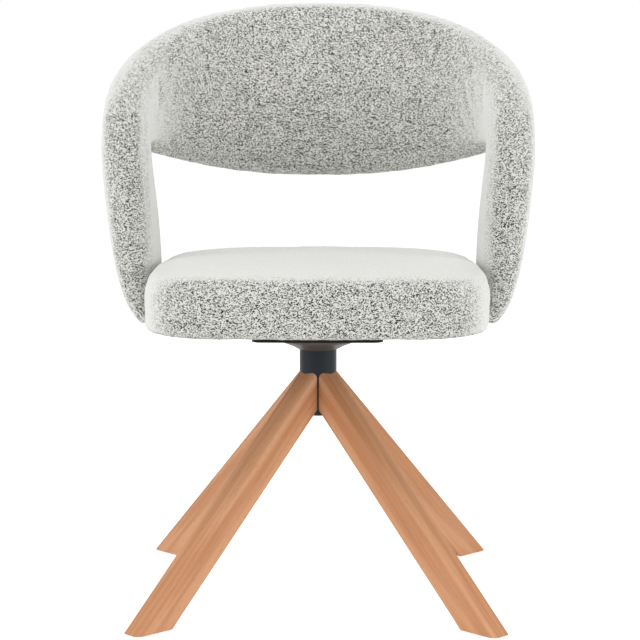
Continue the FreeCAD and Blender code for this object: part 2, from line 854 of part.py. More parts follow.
def shellBolts(side):
    """Bolts that hold a bracket's leaf to the shell, their holes, and their room in the foam."""
    low = stationAxes(armStation(leafShares[1]))
    high = stationAxes(armStation(leafShares[0]))
    centre = (low[0] + high[0]) / 2
    along = (low[1] + high[1]).normalize()
    outward = (low[2] + high[2]).normalize()
    depth = size("shellThickness") / 2 + size("bracketThickness") + 2 * size("leafGap")
    radius = size("boltDiameter") / 2
    headHeight = size("boltHeadHeight")
    gap = size("padGap")
    bolts = []
    holes = []
    rooms = []
    for share in (-0.5, 0.5):
        point = centre + along * share * size("shellBoltSpacing")
        start = point - outward * depth
        if side < 0:
            start.x = -start.x
        aim = Vector(side * outward.x, outward.y, outward.z)
        shank = cylinder(radius, size("shellBoltLength"), start, aim)
        head = hexHead(size("boltHead"), headHeight, start - aim * headHeight, aim)
        bolts.append(head.fuse(shank))
        holes.append(shank)
        rooms.append(hexHead(size("boltHead") + 4 * gap, size("shellBoltLength") + headHeight
                             + 2 * gap, start - aim * (headHeight + gap), aim))
    return bolts, holes, rooms


def makeFrame():
    """The shell, its brackets and bolts. Returns the room that they take out of the pads."""
    shell, sleeve = makeShell()
    sleeves = [sleeve]
    bolts = []
    gap = size("padGap")
    radius = size("boltDiameter") / 2
    for label, side in (("arm_bracket_left", -1), ("arm_bracket_right", 1)):
        bracket = bracketSolid(side)
        fixings, holes, rooms = shellBolts(side)
        for hole in holes:
            bracket = bracket.cut(hole)
            shell = shell.cut(hole)
        for point in footBoltPoints():
            bracket = bracket.cut(cylinder(radius, size("bracketThickness") + 2 * size("cutOver"),
                                           lifted(point, size("webBottom - cutOver"))))
        solidNode(label, bracket)
        sleeves.append(bracketSolid(side, gap))
        sleeves += rooms
        bolts += fixings
    solidNode("band_shell", shell)
    solidNode("shell_bolts", Part.makeCompound(bolts))
    return sleeves


def makePads(sleeves):
    """The three pads of the band. Returns the room that the arms take out of the cushion."""
    back, side = bandStations()
    side.append(armTip(side[-1]))
    other = [mirrored(station) for station in side]
    pads = {"back_pad": bandLoft([mirrored(station) for station in back[:0:-1]] + back),
            "arm_pad_right": bandLoft(side),
            "arm_pad_left": bandLoft(other)}
    for label, pad in pads.items():
        for sleeve in sleeves:
            pad = pad.cut(sleeve)
        solidNode(label, pad)
    gap = size("nestGap")
    return [bandLoft(side[5:], gap), bandLoft(other[5:], gap), bracketSolid(-1, gap),
            bracketSolid(1, gap)]


# Seat cushion: a crowned, rounded block whose sides draw in towards its seams

# Levels of the cushion: share of its height, and how far in as a share of the crown's reach
cushionLevels = ((0.0, 0.23), (0.06, 0.1), (0.3, 0.0), (0.6, 0.0), (0.78, 0.05), (0.88, 0.14),
                 (0.95, 0.34), (1.0, 1.0))


def cushionWire(height, inset):
    half = size("seatHalf") - inset
    front = size("seatFront") - inset
    rear = size("seatRear") - inset
    share = half / size("seatHalf")
    bow = size("seatBow") * share
    near = size("seatCorner") * share
    far = size("seatRearCorner") * share
    skew = 1 - math.sqrt(0.5)

    def at(x, y):
        return Vector(x, y, height)

    def arc(*points):
        return Part.Arc(*[at(*point) for point in points]).toShape()

    low = -front + bow
    high = rear - bow
    edge = half - bow
    corners = [
        [(edge - near, low), (edge - near * skew, low + near * skew), (edge, low + near)],
        [(edge, high - far), (edge - far * skew, high - far * skew), (edge - far, high)],
        [(far - edge, high), (far * skew - edge, high - far * skew), (-edge, high - far)],
        [(-edge, low + near), (near * skew - edge, low + near * skew), (near - edge, low)],
    ]
    middle = (low + near + high - far) / 2
    bulges = [(half, middle), (0, rear), (-half, middle), (0, -front)]
    edges = []
    for index, corner in enumerate(corners):
        edges.append(arc(*corner))
        edges.append(arc(corner[2], bulges[index], corners[(index + 1) % 4][0]))
    return Part.Wire(edges)


def makeCushion(nests):
    bottom = size("seatBottom")
    wires = [cushionWire(bottom + size("seatThickness") * up, size("seatCrown") * inset)
             for up, inset in cushionLevels]
    cushion = ruledLoft(wires)
    for nest in nests:
        cushion = cushion.cut(nest)
    # The board and the flanges of its tee nuts are let into the cushion from below
    board = doc.getObject("seat_board").Shape
    face = min(board.Faces, key=lambda item: item.CenterOfMass.z)
    start = size("seatDrop + cutOver")
    depth = size("boardThickness + teeNutFlangeThickness + padGap")
    recess = Part.Face(face.OuterWire).extrude(Vector(0, 0, start + depth))
    recess.translate(Vector(0, 0, -start))
    solidNode("seat_cushion", cushion.cut(recess))


makeHub()
for place, turn in legPlaces.items():
    makeLeg(place, turn)
    makeStrap(place, turn)
    makeGlide(place, turn)
makeLegScrews()
makeSwivel()
makeSeatPlate()
makeBoard()
makeSeatFasteners()
makeCushion(makePads(makeFrame()))
doc.recompute()

for item in doc.Objects:
    if "Invalid" in item.State or "Error" in item.State:
        raise ValueError("%s did not build" % item.Label)
for item in nodes:
    if item.Shape.isNull() or not item.Shape.isValid():
        raise ValueError("%s is not a sound solid" % item.Label)

os.makedirs("parts", exist_ok=True)
for item in nodes:
    item.Shape.exportStep("parts/%s.step" % item.Label)
print("%d parts written" % len(nodes))
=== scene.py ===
import bpy
import bmesh
import math
import numpy as np
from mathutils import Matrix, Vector
from mathutils.bvhtree import BVHTree


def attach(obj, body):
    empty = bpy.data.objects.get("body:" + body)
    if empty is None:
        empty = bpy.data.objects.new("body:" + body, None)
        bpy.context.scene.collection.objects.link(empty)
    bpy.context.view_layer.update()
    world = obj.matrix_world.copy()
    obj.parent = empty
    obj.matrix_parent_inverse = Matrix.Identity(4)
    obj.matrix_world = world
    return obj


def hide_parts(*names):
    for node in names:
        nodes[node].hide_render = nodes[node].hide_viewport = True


# Swivel dining chair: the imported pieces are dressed, and the soft ones are made again in cloth.
# Metres, origin on the floor under the swivel axis, +Y towards the backrest.

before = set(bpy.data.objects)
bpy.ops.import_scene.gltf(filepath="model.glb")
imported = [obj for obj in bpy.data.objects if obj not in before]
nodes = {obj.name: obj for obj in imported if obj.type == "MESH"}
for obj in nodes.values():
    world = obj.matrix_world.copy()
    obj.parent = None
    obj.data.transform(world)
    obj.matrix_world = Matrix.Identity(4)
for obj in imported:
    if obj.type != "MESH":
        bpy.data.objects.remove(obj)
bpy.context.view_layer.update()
print("frame loaded,", len(nodes), "pieces")


# Camera, lights and floor

camera = {"place": (0.0316, -2.7748, 0.731), "tilt": 82.71, "turn": 0.6, "lens": 115.3,
          "sensor": 36.0}
studio = {
    "ambient": 0.52,
    "key": {"place": (-0.4, -0.9, 3.2), "aim": (0, 0, 0.5), "size": 2.6, "power": 27},
    "left": {"place": (-3.0, -1.5, 1.4), "aim": (0, 0, 0.4), "size": 1.6, "power": 34},
    "right": {"place": (3.0, -1.5, 1.3), "aim": (0, 0, 0.4), "size": 1.6, "power": 36},
    "rim": {"place": (0.6, 2.6, 2.4), "aim": (0, 0, 0.6), "size": 2.2, "power": 24},
    "floorRadius": 30.0,
    "floorGlow": 0.60, "floorBounce": 0.15,
}


def addCamera():
    data = bpy.data.cameras.new("camera")
    data.lens = camera["lens"]
    data.sensor_width = camera["sensor"]
    eye = bpy.data.objects.new("camera", data)
    eye.location = camera["place"]
    eye.rotation_euler = (math.radians(camera["tilt"]), 0, math.radians(camera["turn"]))
    bpy.context.scene.collection.objects.link(eye)
    bpy.context.scene.camera = eye


def addLight(name, plan):
    data = bpy.data.lights.new(name, "AREA")
    data.shape = "DISK"
    data.size = plan["size"]
    data.energy = plan["power"]
    lamp = bpy.data.objects.new(name, data)
    lamp.location = plan["place"]
    aim = Vector(plan["aim"]) - Vector(plan["place"])
    lamp.rotation_mode = "QUATERNION"
    lamp.rotation_quaternion = aim.to_track_quat("-Z", "Y")
    bpy.context.scene.collection.objects.link(lamp)


def addWorld():
    world = bpy.data.worlds.new("studio")
    bpy.context.scene.world = world
    world.use_nodes = True
    tree = world.node_tree
    tree.nodes.clear()
    path = tree.nodes.new("ShaderNodeLightPath")
    level = tree.nodes.new("ShaderNodeMix")
    level.inputs["A"].default_value = studio["ambient"]
    level.inputs["B"].default_value = 1.0  # the backdrop itself is plain white
    sky = tree.nodes.new("ShaderNodeBackground")
    sky.inputs["Color"].default_value = (1, 1, 1, 1)
    out = tree.nodes.new("ShaderNodeOutputWorld")
    tree.links.new(path.outputs["Is Camera Ray"], level.inputs["Factor"])
    tree.links.new(level.outputs["Result"], sky.inputs["Strength"])
    tree.links.new(sky.outputs[0], out.inputs[0])
    bpy.context.scene.view_settings.view_transform = "Standard"


# Materials: a term is a socket that can be used in a sum, and paint is one material's tree

class Term:
    def __init__(self, paint, socket):
        self.paint = paint
        self.socket = socket

    def maths(self, operation, first, second=0.0):
        return self.paint.node("ShaderNodeMath", {"operation": operation}, {0: first, 1: second})

    def __add__(self, other):
        return self.maths("ADD", self, other)

    def __radd__(self, other):
        return self.maths("ADD", other, self)

    def __sub__(self, other):
        return self.maths("SUBTRACT", self, other)

    def __rsub__(self, other):
        return self.maths("SUBTRACT", other, self)

    def __mul__(self, other):
        return self.maths("MULTIPLY", self, other)

    def __rmul__(self, other):
        return self.maths("MULTIPLY", other, self)

    def __truediv__(self, other):
        return self.maths("DIVIDE", self, other)

    def between(self, low, high):  # 0 below low, 1 above high, smooth in between
        return self.paint.node("ShaderNodeMapRange", {"interpolation_type": "SMOOTHSTEP"},
                               {"Value": self, "From Min": low, "From Max": high})


class Paint:
    def __init__(self, name):
        self.material = bpy.data.materials.new(name)
        self.material.use_nodes = True
        self.tree = self.material.node_tree
        self.tree.nodes.clear()

    def node(self, kind, settings=None, values=None, output=0):
        made = self.tree.nodes.new(kind)
        for key, value in (settings or {}).items():
            setattr(made, key, value)
        for key, value in (values or {}).items():
            if isinstance(value, Term):
                self.tree.links.new(value.socket, made.inputs[key])
            else:
                made.inputs[key].default_value = value
        return Term(self, made.outputs[output]) if made.outputs else made

    def place(self):
        return self.node("ShaderNodeTexCoord", output="Object")

    def stretched(self, scale):
        return self.node("ShaderNodeVectorMath", {"operation": "MULTIPLY"},
                         {0: self.place(), 1: scale})

    def noise(self, place, scale, detail=2.0, roughness=0.5):
        return self.node("ShaderNodeTexNoise", None,
                         {"Vector": place, "Scale": scale, "Detail": detail,
                          "Roughness": roughness})

    def mixed(self, share, first, second):  # colours are mixed by a share from 0 to 1
        return self.node("ShaderNodeMix", {"data_type": "RGBA"},
                         {"Factor": share, 6: first, 7: second}, 2)

    def bump(self, height, strength, distance):
        return self.node("ShaderNodeBump", None,
                         {"Height": height, "Strength": strength, "Distance": distance})

    def shader(self, values):
        return self.node("ShaderNodeBsdfPrincipled", None, values)

    def finish(self, values):
        return self.finishWith(self.shader(values))

    def finishWith(self, shader):
        self.node("ShaderNodeOutputMaterial", None, {"Surface": shader})
        return self.material


def tone(red, green, blue):  # a colour as seen on a screen, 0 to 255, to the shader's own scale
    return tuple(((v / 255 + 0.055) / 1.055) ** 2.4 if v > 10 else v / 3294.6
                 for v in (red, green, blue)) + (1.0,)


boucle = {
    "loop": (0.0013, 0.0013, 0.0009),
    "yarn": tone(240, 240, 234),
    "shade": tone(208, 208, 202),
    "fleck": tone(14, 16, 15),
    "fleckShare": (0.33, 0.38),
    "height": 0.0007,
    # the nap tone, its reach and its share paint a pale sheen over the flecks at grazing angles
    "paintedSheen": tone(230, 231, 227),
    "paintedSheenReach": (0.12, 0.76),
    "paintedSheenShare": 0.90,
}


def makeBoucle():
    paint = Paint("boucleCloth")
    cells = paint.stretched(tuple(1 / length for length in boucle["loop"]))
    loops = paint.node("ShaderNodeTexVoronoi", None, {"Vector": cells, "Scale": 1.0})
    chance = paint.node("ShaderNodeSeparateColor", None,
                        {0: paint.node("ShaderNodeTexVoronoi", None,
                                       {"Vector": cells, "Scale": 1.0}, "Color")})
    strands = paint.noise(cells, 1.7, 1.0, 0.5)
    broad = paint.noise(paint.place(), 30.0, 2.0, 0.5)
    low, high = boucle["fleckShare"]
    dark = 1 - (chance + (strands - 0.5) * 0.35 + (broad - 0.5) * 0.12).between(low, high)
    pale = paint.mixed(strands.between(0.3, 0.7), boucle["shade"], boucle["yarn"])
    colour = paint.mixed(dark * 0.95, pale, boucle["fleck"])
    height = (1 - loops) * 0.6 + strands * 0.4 - dark * 0.4
    bumps = paint.bump(height, 0.8, boucle["height"])
    face = paint.shader({"Base Color": colour, "Roughness": 0.95, "Sheen Weight": 0.25,
                         "Sheen Roughness": 0.5, "Sheen Tint": (1, 1, 1, 1),
                         "Specular IOR Level": 0.12, "Normal": bumps})
    # Painted sheen: seen along the surface, the pale tips of the loops hide the dark yarn between
    # them, so a pale nap colour is mixed over the flecks by viewing angle, on all but downward
    # faces
    paintedSheen = paint.shader({"Base Color": boucle["paintedSheen"], "Roughness": 1.0, "Sheen Weight": 0.3,
                        "Sheen Roughness": 0.4, "Sheen Tint": (1, 1, 1, 1),
                        "Specular IOR Level": 0.08})
    low, high = boucle["paintedSheenReach"]
    share = paint.node("ShaderNodeLayerWeight", None, {"Blend": 0.5}, "Facing").between(low, high)
    upward = paint.node("ShaderNodeSeparateXYZ", None,
                        {0: paint.node("ShaderNodeTexCoord", output="Normal")}, 2)
    share = share * upward.between(-0.95, -0.25) * boucle["paintedSheenShare"]
    return paint.finishWith(paint.node("ShaderNodeMixShader", None,
                                       {0: share, 1: face, 2: paintedSheen}))


def makeThread():
    paint = Paint("seamThread")
    twist = paint.node("ShaderNodeTexWave", {"bands_direction": "DIAGONAL"},
                       {"Vector": paint.place(), "Scale": 900.0, "Distortion": 1.0})
    colour = paint.mixed(twist, boucle["yarn"], boucle["shade"])
    return paint.finish({"Base Color": colour, "Roughness": 0.7,
                         "Normal": paint.bump(twist, 0.4, 0.0001)})


beech = {
    "pale": tone(219, 163, 121),
    "warm": tone(194, 132, 87),
    "pore": tone(138, 88, 54),
    "pitch": 44.3,
}


def makeBeech(name, turn):
    paint = Paint(name)
    pitch = math.radians(beech["pitch"])
    around = math.radians(turn)
    along = Vector((math.cos(pitch) * math.cos(around), math.cos(pitch) * math.sin(around),
                    -math.sin(pitch)))
    across = Vector((-math.sin(around), math.cos(around), 0))
    through = along.cross(across)
    place = paint.place()
    parts = [paint.node("ShaderNodeVectorMath", {"operation": "DOT_PRODUCT"},
                        {0: place, 1: tuple(axis)}, "Value")
             for axis in (along, across, through)]

    def fibres(length, width):
        return paint.node("ShaderNodeCombineXYZ", None,
                          {0: parts[0] / length, 1: parts[1] / width, 2: parts[2] / width})

    bands = paint.noise(fibres(0.35, 0.012), 1.0, 3.0, 0.55)
    fine = paint.noise(fibres(0.06, 0.0016), 1.0, 2.0, 0.6)
    pores = paint.noise(fibres(0.008, 0.0007), 1.0, 1.0, 0.5)
    wood = paint.mixed(bands.between(0.32, 0.68), beech["pale"], beech["warm"])
    wood = paint.mixed(fine.between(0.45, 0.8) * 0.35, wood, beech["warm"])
    mark = pores.between(0.62, 0.78)
    wood = paint.mixed(mark * 0.45, wood, beech["pore"])
    return paint.finish({
        "Base Color": wood, "Roughness": 0.42 + mark * 0.2 + fine * 0.06,
        "Specular IOR Level": 0.4, "Coat Weight": 0.12, "Coat Roughness": 0.35,
        "Normal": paint.bump(fine * 0.3 - mark, 0.25, 0.0002)})


def makeSteel(name, colour, roughness, gloss=0.5):
    paint = Paint(name)
    place = paint.place()
    peel = paint.noise(place, 900.0, 2.0, 0.5)
    smudge = paint.noise(place, 22.0, 2.0, 0.5)
    worn = paint.mixed(smudge.between(0.3, 0.8) * 0.25, colour,
                       tuple(c * 1.35 for c in colour[:3]) + (1.0,))
    return paint.finish({
        "Base Color": worn, "Roughness": roughness + (smudge - 0.5) * 0.12,
        "Specular IOR Level": gloss, "Normal": paint.bump(peel, 0.18, 0.00012)})


def makeZinc(name="zincSteel"):
    paint = Paint(name)
    place = paint.place()
    spangle = paint.node("ShaderNodeTexVoronoi", None, {"Vector": place, "Scale": 700.0}, "Color")
    cloud = paint.noise(place, 60.0, 3.0, 0.6)
    colour = paint.mixed(cloud.between(0.3, 0.7) * 0.5, tone(190, 192, 196), tone(158, 160, 162))
    rough = paint.node("ShaderNodeSeparateColor", None, {0: spangle}) * 0.16 + 0.26
    return paint.finish({"Base Color": colour, "Roughness": rough, "Metallic": 1.0,
                         "Normal": paint.bump(cloud, 0.12, 0.0002)})


def makePlastic(name, colour, roughness=0.5):
    paint = Paint(name)
    place = paint.place()
    grain = paint.noise(place, 1500.0, 1.0, 0.5)
    cloud = paint.noise(place, 80.0, 2.0, 0.5)
    shade = paint.mixed(cloud * 0.3, colour, tuple(c * 0.8 for c in colour[:3]) + (1.0,))
    return paint.finish({"Base Color": shade, "Roughness": roughness + cloud * 0.1,
                         "Normal": paint.bump(grain, 0.2, 0.0001)})


def makePlywood(name="plywoodBoard"):
    paint = Paint(name)
    place = paint.place()
    grain = paint.noise(paint.stretched((6.0, 160.0, 160.0)), 1.0, 3.0, 0.6)
    plies = paint.node("ShaderNodeTexWave", {"bands_direction": "Z"},
                       {"Vector": place, "Scale": 105.0, "Distortion": 0.6, "Detail": 2.0})
    face = paint.mixed(grain.between(0.35, 0.65), tone(206, 172, 126), tone(176, 136, 92))
    colour = paint.mixed(plies.between(0.4, 0.6) * 0.3, face, tone(140, 100, 64))
    return paint.finish({"Base Color": colour, "Roughness": 0.62 + grain * 0.15,
                         "Normal": paint.bump(grain, 0.3, 0.0003)})


def makeDustCloth():
    paint = Paint("dustCloth")
    place = paint.place()
    dots = paint.node("ShaderNodeTexVoronoi", {"feature": "F1"},
                      {"Vector": place, "Scale": 620.0, "Randomness": 0.25})
    fibres = paint.noise(place, 240.0, 3.0, 0.7)
    colour = paint.mixed(fibres.between(0.3, 0.7), tone(34, 34, 36), tone(52, 52, 55))
    return paint.finish({"Base Color": colour, "Roughness": 0.85,
                         "Sheen Weight": 0.2,
                         "Normal": paint.bump(dots + fibres * 0.4, 0.35, 0.0003)})


def dress(names, material):
    for name in names:
        item = nodes[name]
        item.data.materials.clear()
        item.data.materials.append(material)


# Meshes

def addPiece(name, mesh, material):
    item = bpy.data.objects.new(name, mesh)
    bpy.context.scene.collection.objects.link(item)
    mesh.materials.clear()
    mesh.materials.append(material)
    return item


def tubeMesh(name, rings):  # closed rings of points in order, with both ends filled
    mesh = bpy.data.meshes.new(name)
    work = bmesh.new()
    rows = [[work.verts.new(point) for point in ring] for ring in rings]
    count = len(rows[0])
    for first, second in zip(rows, rows[1:]):
        for index in range(count):
            after = (index + 1) % count
            work.faces.new((first[index], first[after], second[after], second[index]))
    work.faces.new(rows[0])
    work.faces.new(rows[-1])
    bmesh.ops.recalc_face_normals(work, faces=work.faces)
    work.to_mesh(mesh)
    work.free()
    return mesh


def smoothed(mesh):
    for face in mesh.polygons:
        face.use_smooth = True
    return mesh


def evaluated(item):
    graph = bpy.context.evaluated_depsgraph_get()
    return bpy.data.meshes.new_from_object(item.evaluated_get(graph), depsgraph=graph)


def points(mesh):
    flat = np.zeros(len(mesh.vertices) * 3)
    mesh.vertices.foreach_get("co", flat)
    return flat.reshape(-1, 3)


def setPoints(mesh, values):
    mesh.vertices.foreach_set("co", np.ascontiguousarray(values).ravel())
    mesh.update()


def remeshed(item, voxel):
    blocks = item.modifiers.new("remesh", "REMESH")
    blocks.mode = "VOXEL"
    blocks.voxel_size = voxel
    mesh = evaluated(item)
    item.modifiers.clear()
    return mesh


def relaxed(item, rounds, factor=0.5):
    ease = item.modifiers.new("ease", "SMOOTH")
    ease.iterations = rounds
    ease.factor = factor
    mesh = evaluated(item)
    item.modifiers.clear()
    return mesh


foam = {"mass": 0.25, "stretch": 14, "shear": 6, "bend": 1.5, "frames": 20, "easeAfter": 4}


def puffed(mesh, plan):  # foam under cloth: remeshed, blown up a little and held to a cap
    item = bpy.data.objects.new("puff", mesh)
    bpy.context.scene.collection.objects.link(item)
    item.data = remeshed(item, plan["voxel"])
    item.data = relaxed(item, plan["ease"])
    start = points(item.data)
    cloth = item.modifiers.new("cloth", "CLOTH")
    cloth.settings.quality = 4
    cloth.settings.mass = foam["mass"]
    cloth.settings.tension_stiffness = foam["stretch"]
    cloth.settings.compression_stiffness = foam["stretch"]
    cloth.settings.shear_stiffness = foam["shear"]
    cloth.settings.bending_stiffness = foam["bend"]
    cloth.settings.use_pressure = True
    cloth.settings.uniform_pressure_force = plan["pressure"]
    cloth.settings.effector_weights.gravity = 0
    cloth.point_cache.frame_start = 1
    cloth.point_cache.frame_end = foam["frames"]
    for number in range(1, foam["frames"] + 1):
        bpy.context.scene.frame_set(number)
    moved = points(evaluated(item)) - start
    length = np.maximum(np.linalg.norm(moved, axis=1), 1e-9)
    moved *= np.minimum(1.0, plan["cap"] / length)[:, None]
    item.modifiers.clear()
    setPoints(item.data, start + moved)
    item.data = relaxed(item, foam["easeAfter"])
    bpy.context.scene.frame_set(1)
    finer = item.modifiers.new("finer", "SUBSURF")
    finer.levels = finer.render_levels = 1
    made = evaluated(item)
    bpy.data.objects.remove(item)
    return made


pile = {"lump": 0.007, "height": 0.0009}


def looped(mesh):  # the pile's own unevenness, which shows along the outline
    item = bpy.data.objects.new("pile", mesh)
    bpy.context.scene.collection.objects.link(item)
    texture = bpy.data.textures.new("pile", "CLOUDS")
    texture.noise_scale = pile["lump"]
    texture.noise_depth = 2
    uneven = item.modifiers.new("uneven", "DISPLACE")
    uneven.texture = texture
    uneven.texture_coords = "LOCAL"
    uneven.strength = pile["height"]
    uneven.mid_level = 0.5
    made = evaluated(item)
    bpy.data.objects.remove(item)
    bpy.data.textures.remove(texture)
    return smoothed(made)


# The padded band. Its stations run from the middle of the back to the shoulder and down the arm.
# It is made in one, right and left, and then cut into the back and the two arms at its seams.

mirror = Vector((-1, 1, 1))
band = {
    "top": 0.811, "topRear": 0.232, "bottom": 0.5615, "bottomRear": 0.203,
    "shoulder": 0.612, "shoulderHalf": 0.265, "front": 0.032,
    "notch": 0.606, "notchHalf": 0.256, "notchRear": 0.055,
    "topBow": 0.95, "topRise": 0.46, "topPlan": 0.84, "fan": 2.76, "hemBow": 0.8,
    "hemPlan": 0.9, "hemRise": 2.4,
    "backThick": 0.050, "shoulderThick": 0.066, "crown": 0.003, "corner": 0.78, "tip": 0.14,
    "seam": 48.4, "seamDepth": 0.0014, "seamWidth": 0.0022, "seamGap": 0.0001,
    "puff": {"voxel": 0.0045, "ease": 2, "pressure": 3.0, "cap": 0.002},
    "grow": 0.0022, "shrink": 0.0012,
}
arm = {
    "drop": 0.2394, "half": 0.229, "frontOut": 0.036, "frontLean": 0.0185, "frontTuck": 0.019,
    "rearOut": 0.031, "rearLean": 0.026, "rearTuck": 0.014, "spread": 0.041,
    "spreadEnd": 0.8, "belly": 0.004, "narrow": 0.004, "thinning": 0.039, "end": 0.973,
    "tuckRate": 10, "tuckDip": 1.18, "tipInset": 0.009, "tipDraw": 0.006, "tipDrop": 0.003,
    "tipThin": 0.45,
}


def backStation(degrees):
    angle = math.radians(degrees)
    side = math.sin(angle)
    back = max(0.0, math.cos(angle))
    edge = Vector((band["shoulderHalf"] * side ** band["topBow"],
                   -band["front"]
                   + (band["topRear"] + band["front"]) * back ** band["topPlan"],
                   band["shoulder"]
                   + (band["top"] - band["shoulder"]) * back ** band["topRise"]))
    lowSide = side ** band["fan"]
    lowBack = math.sqrt(max(0.0, 1 - lowSide ** 2))
    across = lowSide ** band["hemBow"]
    hem = Vector((band["notchHalf"] * across,
                  band["notchRear"]
                  + (band["bottomRear"] - band["notchRear"]) * lowBack ** band["hemPlan"],
                  band["bottom"]
                  + (band["notch"] - band["bottom"]) * across ** band["hemRise"]))
    thick = band["backThick"] + (band["shoulderThick"] - band["backThick"]) * side ** 2
    return edge, hem, thick, Vector((side ** 1.2, back, 0))


def armStation(share):
    tuck = share ** arm["tuckRate"]
    height = band["shoulder"] - arm["drop"] * share
    edge = Vector((arm["half"] + arm["frontOut"] - arm["frontLean"] * share
                   - arm["frontTuck"] * tuck,
                   -band["front"] - arm["belly"] * math.sin(math.pi * share)
                   + arm["narrow"] * tuck, height))
    spread = math.sin(math.pi / 2 * min(1.0, share / arm["spreadEnd"]))
    hem = Vector((arm["half"] + arm["rearOut"] - arm["rearLean"] * share
                  - arm["rearTuck"] * tuck,
                  band["notchRear"] + arm["spread"] * spread - arm["narrow"] * tuck, height))
    start = backStation(90)
    join = min(1.0, share / 0.2)
    join = join * join * (3 - 2 * join)
    hem = start[1].lerp(hem, join) if share < 0.2 else hem
    thick = band["shoulderThick"] - arm["thinning"] * share ** 3
    return edge, hem, thick, Vector((1, 0, -arm["tuckDip"] * tuck))


def axes(station):  # up the section, and out of it
    edge, hem, thick, facing = station
    along = (edge - hem).normalized()
    return along, (facing - along * facing.dot(along)).normalized()


def sectionRing(station, side=10, end=6, corner=7):
    edge, hem, thick, facing = station
    along, outward = axes(station)
    half = (edge - hem).length / 2 + band["grow"]
    deep = thick / 2 - band["shrink"]
    crown = min(band["crown"], deep / 4)
    flat = deep - crown
    radius = flat * band["corner"]
    tip = deep * band["tip"]
    ring = []
    for u, v in ((1, 1), (-1, 1), (-1, -1), (1, -1)):
        arc = []
        for step in range(corner + 1):
            angle = math.pi / 2 * step / corner
            arc.append((u * (half - tip - radius + radius * math.sin(angle)),
                        v * (flat - radius + radius * math.cos(angle))))
        ring.append(arc if u * v < 0 else arc[::-1])
    outline = []
    for index, arc in enumerate(ring):
        outline += arc
        after = ring[(index + 1) % 4][0]
        steps = side if index % 2 == 0 else end
        for step in range(1, steps):
            share = step / steps
            x = arc[-1][0] + (after[0] - arc[-1][0]) * share
            y = arc[-1][1] + (after[1] - arc[-1][1]) * share
            bulge = 4 * share * (1 - share)
            if index % 2 == 0:
                y += math.copysign(crown, y) * bulge
            else:
                x += math.copysign(tip, x) * bulge
            outline.append((x, y))
    centre = (edge + hem) / 2
    return [centre + along * u + outward * v for u, v in outline]


def makeBandMesh():
    stations = [backStation(90 * step / 36) for step in range(37)]
    stations += [armStation(arm["end"] * step / 30) for step in range(1, 31)]
    rings = [sectionRing(station) for station in stations]
    edge, hem, thick, facing = stations[-1]
    for step in (1, 2, 3):  # the arm's end rounds off as it tucks in under the seat
        share = step / 3
        inset = (edge - hem).normalized() * arm["tipInset"] * share ** 2
        drop = (Vector((-arm["tipDraw"], 0, -arm["tipDrop"]))
                * math.sin(math.pi / 2 * share))
        rings.append(sectionRing((edge - inset + drop, hem + inset + drop,
                                  thick * (1 - arm["tipThin"] * share ** 2), facing)))
    other = [[point * mirror for point in ring] for ring in rings[:0:-1]]
    return tubeMesh("band", other + rings)


def seamPlane(side):  # its normal points to the middle of the back
    station = backStation(band["seam"])
    along, outward = axes(station)
    flip = Vector((side, 1, 1))
    return (station[0] + station[1]) / 2 * flip, along.cross(outward) * flip


def creased(mesh, distance, depth, width):  # draws the surface in along a seam
    normals = np.zeros(len(mesh.vertices) * 3)
    mesh.vertices.foreach_get("normal", normals)
    near = np.exp(-(distance / width) ** 2)
    setPoints(mesh, points(mesh) - normals.reshape(-1, 3) * (depth * near)[:, None])
    return mesh


def seamed(mesh):
    centre, normal = seamPlane(1)
    folded = points(mesh)
    folded[:, 0] = np.abs(folded[:, 0])
    return creased(mesh, (folded - np.array(centre)) @ np.array(normal),
                   band["seamDepth"], band["seamWidth"])


def cutAt(mesh, name, cuts):  # the part of a closed mesh in front of each plane, closed again
    work = bmesh.new()
    work.from_mesh(mesh)
    for centre, normal in cuts:
        found = bmesh.ops.bisect_plane(
            work, geom=work.verts[:] + work.edges[:] + work.faces[:],
            plane_co=centre + normal * band["seamGap"], plane_no=normal, clear_inner=True)
        rim = [part for part in found["geom_cut"] if isinstance(part, bmesh.types.BMEdge)]
        for part in rim:
            part.smooth = False
        bmesh.ops.edgeloop_fill(work, edges=rim)
    bmesh.ops.triangulate(work, faces=[face for face in work.faces if len(face.verts) > 4])
    bmesh.ops.recalc_face_normals(work, faces=work.faces)
    made = bpy.data.meshes.new(name)
    work.to_mesh(made)
    work.free()
    return smoothed(made)


# The seat cushion: its outline at a level, and the levels of its side and crown

seat = {
    "half": 0.229, "front": 0.250, "rear": 0.214, "bow": 0.007, "corner": 0.088,
    "rearCorner": 0.150, "bottom": 0.3806, "thick": 0.0802, "crown": 0.112,
    "levels": ((0.0, 0.60), (0.0, 0.01), (0.06, -0.01), (0.3, 0.0), (0.6, 0.0), (0.82, 0.03),
               (0.92, 0.10), (0.975, 0.22), (1.0, 0.70)),
    "puff": {"voxel": 0.005, "ease": 2, "pressure": 3.0, "cap": 0.002},
    "seam": 0.4490, "seamDepth": 0.0010, "seamWidth": 0.0026, "seamInset": 0.07,
    "boardRoom": 0.0014, "armRoom": 0.0004,
}
board = {"half": 0.186, "front": 0.206, "rear": 0.174, "corner": 0.060, "rearCorner": 0.135,
         "nutTop": 0.3965}


